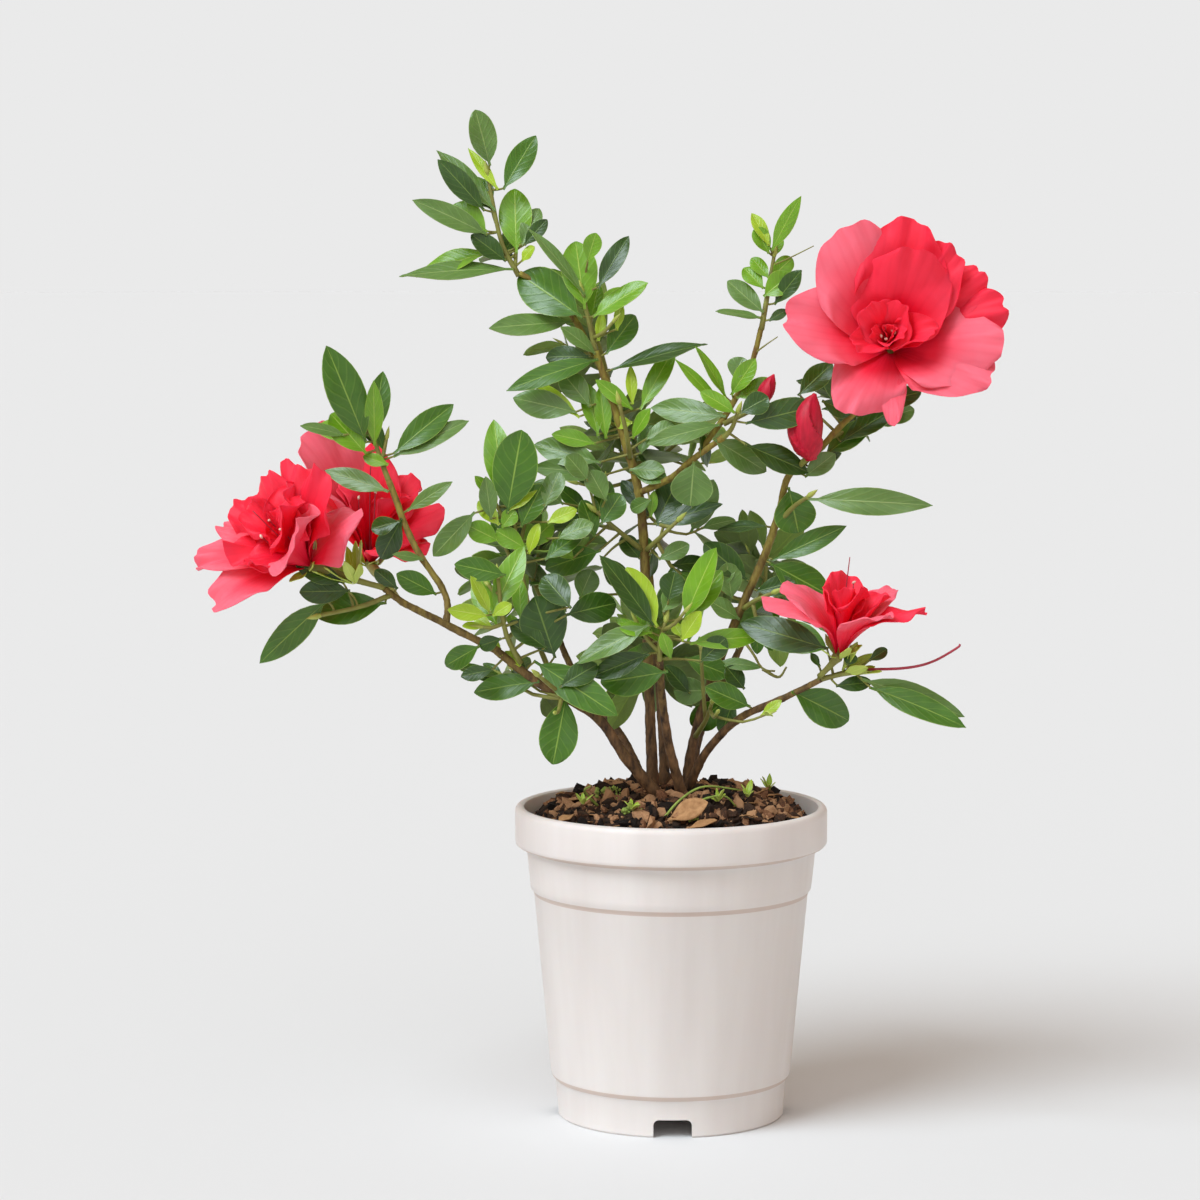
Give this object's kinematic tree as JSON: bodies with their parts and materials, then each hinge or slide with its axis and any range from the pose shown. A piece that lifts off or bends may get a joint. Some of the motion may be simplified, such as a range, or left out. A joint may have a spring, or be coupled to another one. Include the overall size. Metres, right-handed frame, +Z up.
{
  "type": "potted azalea shrub",
  "caption": "Young azalea shrub in a plain plastic nursery pot, with woody stems, open leafy shoots, red double flowers and flower buds.",
  "frame": {"origin": "middle of the pot's flat underside, on the surface that the pot stands on", "axes": "+Z up, -Y towards the viewer of the front, +X to the viewer's right"},
  "size_m": [0.2936, 0.1836, 0.3826],
  "materials": {
    "pot": "matt moulded plastic, off-white",
    "soil": "dark composted bark chips",
    "bark": "thin brown bark, green on young wood",
    "foliage": "semi-matt green leaves",
    "petal": "soft red petals"
  },
  "bodies": {
    "root": {"pot": "pot", "soil": "soil", "stem_back_left": "bark", "stem_back_right": "bark", "stem_behind": "bark", "stem_centre": "bark", "stem_front": "bark", "stem_left": "bark", "stem_low_right": "bark", "stem_right": "bark", "bough_left": "bark", "bough_left_upright": "bark", "bough_middle_right": "bark", "bough_right": "bark", "bough_top": "bark", "bough_upper_right": "bark", "foliage_back_left": "foliage", "foliage_back_low": "foliage", "foliage_back_right": "foliage", "foliage_back_top": "foliage", "foliage_behind": "foliage", "foliage_centre": "foliage", "foliage_centre_high": "foliage", "foliage_centre_left": "foliage", "foliage_centre_low": "foliage", "foliage_front": "foliage", "foliage_left": "foliage", "foliage_left_low": "foliage", "foliage_low_centre": "foliage", "foliage_low_left": "foliage", "foliage_low_right": "foliage", "foliage_middle": "foliage", "foliage_middle_right": "foliage", "foliage_right": "foliage", "foliage_right_crest": "foliage", "foliage_right_low": "foliage", "foliage_top": "foliage", "foliage_upper": "foliage", "foliage_upper_right": "foliage", "bloom_left_back": "petal", "bloom_left_front": "petal", "bloom_low_right": "petal", "bloom_right": "petal", "bud_large": "petal", "bud_small": "petal"}
  },
  "joints": []
}
